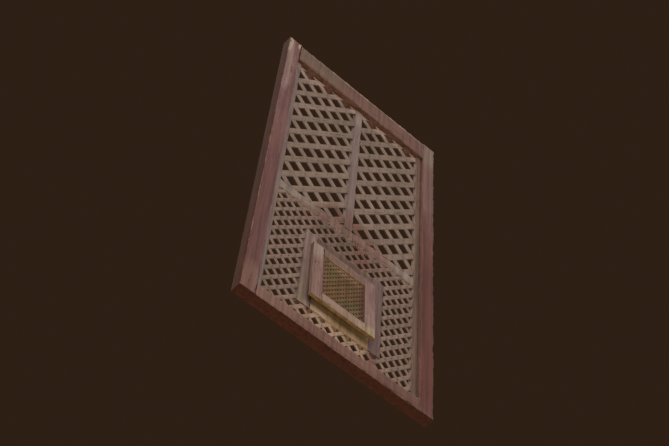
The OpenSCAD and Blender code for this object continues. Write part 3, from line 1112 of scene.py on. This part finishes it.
# Hinges: a plate on the surround, a tab on the leaf's top edge and a barrel between them
HINGE_X = 0.140
PLATE_HALF = 0.030
PLATE_THICK = 0.003
PLATE_FOOT = 0.006
PLATE_TOP = 0.043
PLATE_CORNER = 0.004
PLATE_CROWN = 0.0008
TAB_FRONT = -0.0165
TAB_BACK = -0.0005
TAB_THICK = 0.0028
TAB_CORNER = 0.003
KNUCKLES = 5
KNUCKLE_STEP = 0.012
KNUCKLE_LENGTH = 0.0116
KNUCKLE_ARRIS = 0.0006
BARREL_RADIUS = 0.005
BARREL_OUT = 0.006
BARREL_UP = 0.0065
SCREW_RADIUS = 0.0036
SCREW_THICK = 0.0012
SCREW_CROWN = 0.0006
SCREW_OUT = 0.0036
SCREW_STEP = 0.019
SCREW_LOW = 0.024
SCREW_HIGH = 0.034
SLOT_HALF = 0.0005
SLOT_DEPTH = 0.0005


def screw(name, x, y, z, lean):
    """A slotted countersunk screw head, its slot turned by lean."""
    head = round_bar(name, 16, SCREW_RADIUS, SCREW_THICK, TO_FRONT)
    crown(head, SCREW_CROWN)
    score(head, UP, (-SLOT_HALF, SLOT_HALF))
    pick(head, "FACE", lambda middle, way: way.y < -ALONG and abs(middle.z) < SLOT_HALF * 0.8)
    bpy.ops.mesh.extrude_region_move(TRANSFORM_OT_translate={"value": (0, SLOT_DEPTH, 0)})
    leave_edit()
    head.location = (x, y, z)
    head.rotation_euler = (0, lean, 0)
    only(head)
    settle()
    return head


def hinge(side, name):
    """A butt hinge: a bevelled plate with three screws, a tab and a barrel of five knuckles."""
    x, z = LEAF_X + side * HINGE_X, above(LEAF_TOP)
    plate = block("upper_plate", (x - PLATE_HALF, HATCH_FACE - PLATE_THICK, z + PLATE_FOOT),
                  (x + PLATE_HALF, HATCH_FACE, z + PLATE_TOP))
    soften(plate, BACK, PLATE_CORNER, 3)
    crown(plate, PLATE_CROWN)
    tab = block("leaf_plate", (side * HINGE_X - PLATE_HALF, TAB_FRONT, 0.0),
                (side * HINGE_X + PLATE_HALF, TAB_BACK, TAB_THICK))
    soften(tab, UP, TAB_CORNER, 2)
    parts = [plate, hang(tab)]
    for count in range(KNUCKLES):
        along = (count - (KNUCKLES - 1) / 2) * KNUCKLE_STEP
        knuckle = round_bar("knuckle", 20, BARREL_RADIUS, KNUCKLE_LENGTH, TO_SIDE,
                            (x + along, HATCH_FACE - BARREL_OUT, z + BARREL_UP))
        pick(knuckle, "FACE", lambda middle, way: abs(way.x) > ALONG)
        bpy.ops.mesh.bevel(offset=KNUCKLE_ARRIS, segments=2, affect="EDGES")
        leave_edit()
        parts.append(knuckle)
    for way, up, lean in ((-1, SCREW_HIGH, 0.5), (0, SCREW_LOW, 1.6), (1, SCREW_HIGH, 2.7)):
        parts.append(screw("plate_screw", x + way * SCREW_STEP, HATCH_FACE - SCREW_OUT, z + up, lean))
    piece = join(parts, f"rusty_{name}_hinge")
    dress(piece, f"{name}_hinge", hinge_finish, SMOOTH_IRON)


outer_frame()
dividers()
upper_lattices()
lower_lattices()
surround()
leaf()
hinge(-1, "left")
hinge(1, "right")

# Floor, light and camera
PALE = (0.60, 0.585, 0.565)
PALER = (0.66, 0.645, 0.625)
DARK_CEILING = (0.036, 0.020, 0.012)
FLOOR_SIZE = 160
FLOOR_HEIGHT = -10
LAMP_TARGET = Vector((0, 0, 1.3))
CAMERA_LENS = 67.86
CAMERA_PLACE = (-2.5273, -3.3943, -4.8552)
CAMERA_TURN = Quaternion((0.291642, 0.889271, -0.343937, -0.076485))


def studio_floor():
    """A wide pale floor, below the camera that looks up."""
    only()
    bpy.ops.mesh.primitive_plane_add(size=FLOOR_SIZE, location=(0, 0, FLOOR_HEIGHT))
    floor = bpy.context.object
    floor.name = "studio_floor"
    material, s, shader = new_material("pale_floor")
    cloud = s.noise(s.add("ShaderNodeTexCoord").outputs["Object"], 0.6, 3.0)
    s.put(shader, "Base Color", s.blend(cloud, PALE, PALER))
    s.put(shader, "Roughness", 0.9)
    floor.data.materials.append(material)


def studio_sky():
    """Soft even light from above; the camera sees pale at the horizon and a dark ceiling high up."""
    world = bpy.data.worlds.new("studio_sky")
    bpy.context.scene.world = world
    world.use_nodes = True
    s = Sheet(world.node_tree)
    height = s.parted(s.add("ShaderNodeTexCoord").outputs["Generated"])["Z"]
    seen = s.blend(s.remap(height, 0.16, 0.62), PALE, DARK_CEILING)
    light = s.remap(height, -0.35, 0.55, 0.26, 0.95)
    glow = s.add("ShaderNodeCombineColor")
    for index, share in enumerate((1.0, 0.97, 0.93)):
        s.put(glow, index, s.times(light, share))
    by_camera = s.add("ShaderNodeLightPath").outputs["Is Camera Ray"]
    s.put(world.node_tree.nodes["Background"], "Color", s.blend(by_camera, glow.outputs[0], seen))


def soft_lamp(name, place, size, power, colour):
    """A round soft lamp that shines on the middle of the screen."""
    lamp = bpy.data.lights.new(name, "AREA")
    lamp.shape = "DISK"
    lamp.size = size
    lamp.energy = power
    lamp.color = colour
    holder = bpy.data.objects.new(name, lamp)
    bpy.context.scene.collection.objects.link(holder)
    holder.location = place
    holder.rotation_euler = (LAMP_TARGET - Vector(place)).to_track_quat("-Z", "Y").to_euler()


def camera():
    """The camera of the fitted view: low, at the left, looking up."""
    lens = bpy.data.cameras.new("photo_camera")
    lens.sensor_width = 36
    lens.lens = CAMERA_LENS
    holder = bpy.data.objects.new("photo_camera", lens)
    bpy.context.scene.collection.objects.link(holder)
    holder.location = CAMERA_PLACE
    holder.rotation_mode = "QUATERNION"
    holder.rotation_quaternion = CAMERA_TURN
    bpy.context.scene.camera = holder


studio_floor()
studio_sky()
soft_lamp("key_lamp", place=(1.8, -8.4, 4.0), size=9.0, power=340, colour=(1.0, 0.975, 0.94))
soft_lamp("fill_lamp", place=(-5.0, -6.0, 2.0), size=6.0, power=95, colour=(0.96, 0.98, 1.0))
soft_lamp("back_lamp", place=(2.0, 6.5, 5.0), size=5.0, power=260, colour=(1.0, 0.98, 0.96))
camera()

bpy.ops.object.select_all(action="DESELECT")
